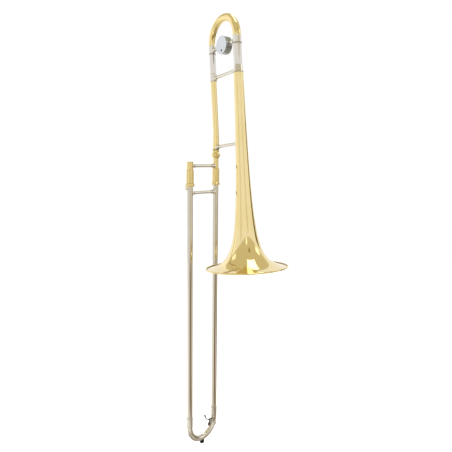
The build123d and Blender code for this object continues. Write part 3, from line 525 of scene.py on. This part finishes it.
def lathe(name, profile, place, axis, body, look, steps=LATHE_STEPS, wave=None):
    """Turns a closed profile of (radius, along) pairs in mm about an axis.

    A wave adds to the radius by angle, except at the profile's first and last points.
    """
    turn_to = Vector(UP).rotation_difference(Vector(axis)).to_matrix().to_4x4()
    made = bmesh.new()
    rings = []
    for step in range(steps):
        angle = 2 * math.pi * step / steps
        extra = wave(angle) if wave else 0.0
        ring = []
        for index, (radius, along) in enumerate(profile):
            grown = radius + (extra if 0 < index < len(profile) - 1 else 0)
            spot = Vector((grown * math.cos(angle), grown * math.sin(angle), along)) * MM
            ring.append(made.verts.new(spot))
        rings.append(ring)
    for here, following in zip(rings, rings[1:] + rings[:1]):
        close_ring(made, here, following)
    made.transform(Matrix.Translation(place) @ turn_to)
    mesh = finished_mesh(name, made, look)
    mesh.polygons.foreach_set("use_smooth", [True] * len(mesh.polygons))
    piece = new_object(name, mesh)
    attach(piece, body)


def bead(name, node, axis, top, body, inset, look, near_x=None):
    """A half-round bead round a tube, a little in from one end."""
    middle, radius = tube_end(node, axis, top, near_x)
    middle = middle + Vector(axis) * (-inset if top else inset) * MM
    wall = radius / MM
    profile = [(wall + out, along) for out, along in BEAD_OUTLINE]
    lathe(name, profile, middle, axis, body, look)


def knurl(name, place, radius, half, teeth, body, look):
    """A band of fine straight knurling round a part of the given radius, in mm."""
    def tooth(angle):
        return KNURL_TOOTH * abs(math.sin(teeth * angle / 2))

    root, crest, shoulder = radius - KNURL_ROOT, radius + KNURL_CREST, half - KNURL_CHAMFER
    profile = ((root, half), (radius, half), (crest, shoulder),
               (crest, -shoulder), (radius, -half), (root, -half))
    lathe(name, profile, place, UP, body, look, teeth * STEPS_PER_TOOTH, tooth)


def receiver_thread():
    """The few turns of thread that show between the lock nut and the neck receiver."""
    middle = node_middle("bell_lock_nut")
    outline = ((THREAD_ROOT, -THREAD_FLANK), (THREAD_CREST, -THREAD_FLAT),
               (THREAD_CREST, THREAD_FLAT), (THREAD_ROOT, THREAD_FLANK))
    count = int((THREAD_STOP - THREAD_START) / THREAD_PITCH * THREAD_STEPS)
    made = bmesh.new()
    rows = []
    for step in range(count + 1):
        angle = 2 * math.pi * step / THREAD_STEPS
        level = THREAD_START + THREAD_PITCH * step / THREAD_STEPS
        row = []
        for radius, rise in outline:
            x = radius * math.cos(angle) * MM + middle.x
            y = radius * math.sin(angle) * MM
            row.append(made.verts.new((x, y, (level + rise) * MM)))
        rows.append(row)
    for here, following in zip(rows, rows[1:]):
        close_ring(made, here, following)
    made.faces.new(rows[0])
    made.faces.new(list(reversed(rows[-1])))
    piece = new_object("receiver_thread", finished_mesh("receiver_thread", made, DARKENED))
    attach(piece, "bell_section")


def guard_seam(name, side):
    """The solder line along one edge of the bow's guard: side is -1 or 1."""
    low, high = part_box("slide_bow")
    tube = BOW_TUBE * MM
    bend = (high.x - low.x) / 2 - tube
    centre = Vector(((low.x + high.x) / 2, 0, low.z + bend + tube))
    tilt = math.radians(SEAM_TILT) * side
    reach = bend + (tube + SEAM_LIFT * MM) * math.cos(tilt)
    aside = (tube + SEAM_LIFT * MM) * math.sin(tilt)
    curve = bpy.data.curves.new(name, "CURVE")
    curve.dimensions = "3D"
    curve.bevel_depth = SEAM_RADIUS * MM
    curve.bevel_resolution = 3
    curve.use_fill_caps = True
    run = curve.splines.new("POLY")
    run.points.add(SEAM_POINTS - 1)
    for index, point in enumerate(run.points):
        angle = math.radians(SEAM_START + SEAM_SWEEP * index / (SEAM_POINTS - 1))
        spot = centre + Vector((math.cos(angle) * reach, aside, -math.sin(angle) * reach))
        point.co = (*spot, 1)
    curve.materials.append(TARNISHED)
    piece = new_object(name, curve)
    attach(piece, "outer_slide")


def tuning_beads():
    """Beads at the ends of the ferrules and sleeves that carry the tuning slide."""
    for node, top, body in (
        ("neck_ferrule", False, "bell_section"), ("neck_side_sleeve", True, "bell_section"),
        ("bell_ferrule", False, "bell_section"), ("bell_side_sleeve", True, "bell_section"),
        ("neck_side_tuning_ferrule", False, "tuning_slide"),
        ("bell_side_tuning_ferrule", False, "tuning_slide"),
    ):
        name = node + ("_top" if top else "_low") + "_bead"
        bead(name, node, PULL_AXIS, top, body, FERRULE_BEAD_INSET, AGED)


def hand_slide_beads():
    """Beads at both ends of each bow ferrule, and at the top of each cork barrel."""
    for side in ("upper", "lower"):
        near_x = node_middle(side + "_outer_tube").x
        for top in (True, False):
            name = f"bow_{side}_{'top' if top else 'low'}_bead"
            bead(name, "bow_ferrules", UP, top, "outer_slide", FERRULE_BEAD_INSET, AGED, near_x=near_x)
        barrel = side + "_cork_barrel"
        bead(barrel + "_bead", barrel, UP, True, "inner_slide", BARREL_BEAD_INSET,
             LOOKS["lacquered_brass"])


def knurls():
    """Knurling round the lock nut's band and grip, and round the slide's lock ring."""
    brass = LOOKS["lacquered_brass"]
    nut = node_middle("bell_lock_nut")
    low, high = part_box("bell_lock_nut")
    nut_radius = (high.x - nut.x) / MM
    band_place = (nut.x, nut.y, high.z - NUT_BAND_DROP * MM)
    grip_place = (nut.x, nut.y, low.z + NUT_GRIP_LIFT * MM)
    band_radius = nut_radius - NUT_BAND_STEP
    knurl("nut_band_knurl", band_place, band_radius, NUT_BAND_HALF, NUT_BAND_TEETH, "lock_nut", brass)
    knurl("nut_grip_knurl", grip_place, nut_radius, NUT_GRIP_HALF, GRIP_TEETH, "lock_nut", brass)
    ring_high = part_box("slide_lock_ring")[1]
    ring_place = (0, 0, ring_high.z - RING_GRIP_DROP * MM)
    knurl("lock_ring_knurl", ring_place, ring_high.x / MM, RING_GRIP_HALF, GRIP_TEETH, "lock_ring", brass)


def weight_seam():
    """The dark joint between the counterweight's two halves."""
    drum = node_middle("counterweight_front", "counterweight_back")
    black = LOOKS["black_rubber"]
    lathe("weight_seam", WEIGHT_SEAM_OUTLINE, drum, DRUM_AXIS, "tuning_slide", black)


# ---- Stage
def floor():
    """A pale sheet below everything, low enough for the hand slide to run right out above it."""
    slide_run = joint_named("hand_slide")["range_m"][1]
    bow = node_middle("slide_bow")
    middle = Vector((bow.x, 0, cad_low.z - slide_run - FLOOR_DROP))
    corners = []
    for before, beside in ((FLOOR_BEFORE, -FLOOR_BESIDE), (FLOOR_BEFORE, FLOOR_BESIDE),
                           (-FLOOR_BEHIND, FLOOR_BESIDE), (-FLOOR_BEHIND, -FLOOR_BESIDE)):
        corners.append(middle + Vector(FRONT) * before + Vector(SIDE) * beside)
    mesh = bpy.data.meshes.new("floor")
    mesh.from_pydata(corners, [], [(0, 1, 2, 3)])
    sheet = new_object("floor", mesh)
    sheet.visible_glossy = False
    made, tree, shader, where = new_material("studio_paper")
    tone = blend_colour(tree, spots(tree, where, PAPER_CLOUDS, detail=4), PAPER, PAPER_PALE)
    tree.links.new(tone, shader.inputs["Base Color"])
    shader.inputs["Roughness"].default_value = 0.9
    shader.inputs["Emission Color"].default_value = (1, 1, 1, 1)
    shader.inputs["Emission Strength"].default_value = FLOOR_GLOW
    mesh.materials.append(made)


def band(tree, value, limits, soft):
    """1 where a value lies between two limits, with soft edges."""
    low, high = limits
    first = ramp(tree, value, low - soft, low + soft)
    return times(tree, first, ramp(tree, value, high - soft, high + soft, start=1.0, end=0.0))


def cover(tree, room, turn, rise, patches):
    """Lays patches of colour over the room, each over the ones before it."""
    for turns, rises, turn_soft, rise_soft, colour in patches:
        share = times(tree, band(tree, turn, turns, turn_soft), band(tree, rise, rises, rise_soft))
        room = blend_colour(tree, share, room, colour)
    return room


def overhead_box(tree, toward, across, height):
    """1 inside the four-sided soft box overhead."""
    share = ramp(tree, height, *OVERHEAD_HEIGHT)
    for front_part, side_part, limit in OVERHEAD_SIDES:
        mixed = plus(tree, times(tree, toward, front_part), times(tree, across, side_part))
        inside = ramp(tree, mixed, limit - OVERHEAD_EDGE, limit + OVERHEAD_EDGE, start=1.0, end=0.0)
        share = times(tree, share, inside)
    return share


def studio_colour(tree):
    """The room's colour in each direction: walls, things that stand before them, ceiling and lamps."""
    way = add(tree, "ShaderNodeTexCoord").outputs["Generated"]
    toward = dot(tree, way, FRONT)
    across = dot(tree, way, SIDE)
    height = dot(tree, way, UP)
    turn = times(tree, calc(tree, "ARCTAN2", across, toward), math.degrees(1))
    rise = times(tree, calc(tree, "ARCSINE", height), math.degrees(1))
    room = blend_colour(tree, ramp(tree, rise, *WALL_CHANGE), WALL_LOW, WALL_HIGH)
    room = cover(tree, room, turn, rise, WALLS)
    clutter = ramp(tree, spots(tree, way, CLUTTER_SPREAD, rough=0.6, stretch=CLUTTER_SQUEEZE), *CLUTTER_EDGE)
    clutter = times(tree, clutter, ramp(tree, rise, *CLUTTER_FADE))
    room = blend_colour(tree, clutter, room, CLUTTER)
    lift = ramp(tree, calc(tree, "ABSOLUTE", turn), *CEILING_LIFT_TURNS, 0, CEILING_LIFT)
    ceiling = ramp(tree, calc(tree, "SUBTRACT", rise, lift), *CEILING_EDGE)
    room = blend_colour(tree, ceiling, room, CEILING_COLOUR)
    room = cover(tree, room, turn, rise, CEILING)
    return blend_colour(tree, overhead_box(tree, toward, across, height), room, OVERHEAD_COLOUR)


def studio():
    """A room that lights the instrument and shows in its metal, with plain white seen behind it."""
    world = bpy.data.worlds.new("studio")
    bpy.context.scene.world = world
    world.use_nodes = True
    tree = world.node_tree
    tree.nodes.clear()
    lit = add(tree, "ShaderNodeBackground")
    tree.links.new(studio_colour(tree), lit.inputs["Color"])
    plain = add(tree, "ShaderNodeBackground")
    plain.inputs["Color"].default_value = (1, 1, 1, 1)
    plain.inputs["Strength"].default_value = BACKDROP_STRENGTH
    choose = add(tree, "ShaderNodeMixShader")
    tree.links.new(add(tree, "ShaderNodeLightPath").outputs["Is Camera Ray"], choose.inputs[0])
    tree.links.new(lit.outputs[0], choose.inputs[1])
    tree.links.new(plain.outputs[0], choose.inputs[2])
    tree.links.new(choose.outputs[0], add(tree, "ShaderNodeOutputWorld").inputs["Surface"])


def soft_light(name, place, width, power):
    """A large area light on the matte pieces, which the metal doesn't reflect."""
    light = bpy.data.lights.new(name, "AREA")
    light.size = width
    light.energy = power
    lamp = new_object(name, light)
    lamp.location = place
    lamp.rotation_euler = (Vector(LIGHT_AIM) - Vector(place)).to_track_quat("-Z", "Y").to_euler()
    lamp.visible_glossy = False


def camera():
    """Stands at the viewing angle: yaw about Z, then pitch, then roll."""
    data = bpy.data.cameras.new("camera")
    data.lens = CAMERA_LENS
    data.sensor_width = CAMERA_SENSOR
    data.clip_start = CAMERA_NEAREST
    yaw, pitch, roll = (math.radians(value) for value in (CAMERA_YAW, CAMERA_PITCH, CAMERA_ROLL))
    turned = Matrix.Rotation(yaw, 4, "Z")
    turned = turned @ Matrix.Rotation(math.pi / 2 - pitch, 4, "X")
    turned = turned @ Matrix.Rotation(roll, 4, "Z")
    made = new_object("camera", data)
    made.matrix_world = Matrix.Translation(CAMERA_PLACE) @ turned
    bpy.context.scene.camera = made


dress_nodes()
tuning_beads()
hand_slide_beads()
knurls()
weight_seam()
receiver_thread()
guard_seam("guard_seam_near", -1)
guard_seam("guard_seam_far", 1)
floor()
studio()
soft_light("key", place=(-1.3, -0.4, 1.6), width=1.2, power=18)
soft_light("fill", place=(1.2, -1.4, 1.0), width=1.6, power=10)
camera()
bpy.context.scene.view_settings.view_transform = "Standard"
